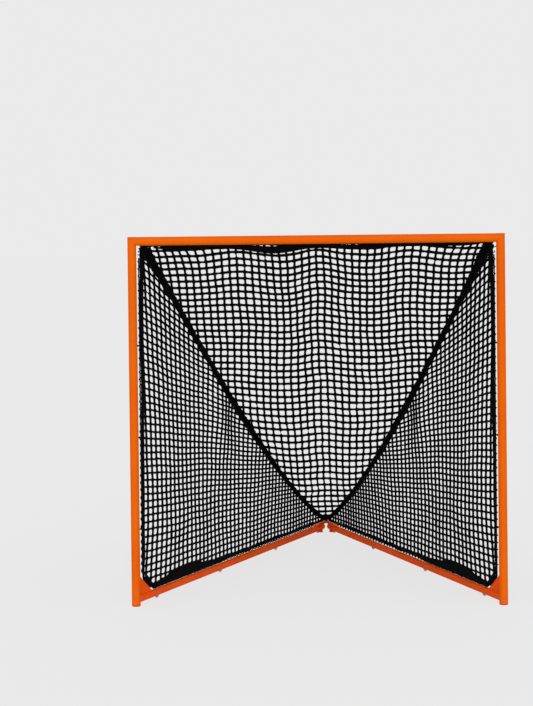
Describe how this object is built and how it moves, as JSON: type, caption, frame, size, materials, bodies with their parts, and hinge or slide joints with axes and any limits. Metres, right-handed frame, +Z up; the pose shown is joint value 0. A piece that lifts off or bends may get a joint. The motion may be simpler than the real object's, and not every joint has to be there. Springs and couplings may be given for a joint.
{
  "type": "field lacrosse goal with net",
  "caption": "Open square tube goal on a low V-shaped base, with a black netting bag of one back panel and two side panels laced to thin bars and tied at the rear point.",
  "frame": {"origin": "on the floor under the middle of the outline", "axes": "+X to the right seen from the field, +Y from the mouth back to the rear point, +Z up"},
  "size_m": [1.9178, 2.1768, 1.8867],
  "materials": {
    "frame_orange": "semi-gloss powder coat",
    "base_orange": "semi-gloss powder coat",
    "bar_black": "satin powder coat",
    "zinc_steel": "zinc plated, satin",
    "cap_orange": "moulded, satin",
    "plug_black": "moulded, matte",
    "net_black": "braided cord, matte",
    "webbing_black": "woven webbing, matte",
    "rope_black": "laid rope, matte",
    "lace_black": "braided lacing cord, matte"
  },
  "bodies": {
    "root": {"apex_knot": "rope_black", "back_net": "net_black", "crossbar": "frame_orange", "crossbar_bar_lugs": "bar_black", "crossbar_hem": "webbing_black", "crossbar_inserts": "zinc_steel", "crossbar_lacing": "lace_black", "crossbar_lacing_bar": "bar_black", "crossbar_rope": "rope_black", "crossbar_screws": "zinc_steel", "left_corner_tie": "rope_black", "left_crossbar_spigot": "frame_orange", "left_foot_band": "webbing_black", "left_foot_cap": "cap_orange", "left_foot_gusset": "base_orange", "left_ground_hem": "webbing_black", "left_ground_pipe": "base_orange", "left_ground_rope": "rope_black", "left_pipe_bar_studs": "zinc_steel", "left_pipe_lacing": "lace_black", "left_pipe_lacing_bar": "bar_black", "left_pipe_plug": "plug_black", "left_post": "frame_orange", "left_post_bar_lugs": "bar_black", "left_post_lacing": "lace_black", "left_post_lacing_bar": "bar_black", "left_post_rope": "rope_black", "left_seam": "webbing_black", "left_side_net": "net_black", "left_top_cap": "cap_orange", "pipe_nuts": "zinc_steel", "pipe_washers": "zinc_steel", "rear_feet": "cap_orange", "rear_yoke": "base_orange", "right_corner_tie": "rope_black", "right_crossbar_spigot": "frame_orange", "right_foot_band": "webbing_black", "right_foot_cap": "cap_orange", "right_foot_gusset": "base_orange", "right_ground_hem": "webbing_black", "right_ground_pipe": "base_orange", "right_ground_rope": "rope_black", "right_pipe_bar_studs": "zinc_steel", "right_pipe_lacing": "lace_black", "right_pipe_lacing_bar": "bar_black", "right_pipe_plug": "plug_black", "right_post": "frame_orange", "right_post_bar_lugs": "bar_black", "right_post_lacing": "lace_black", "right_post_lacing_bar": "bar_black", "right_post_rope": "rope_black", "right_seam": "webbing_black", "right_side_net": "net_black", "right_top_cap": "cap_orange", "yoke_bolts": "zinc_steel"}
  },
  "joints": []
}
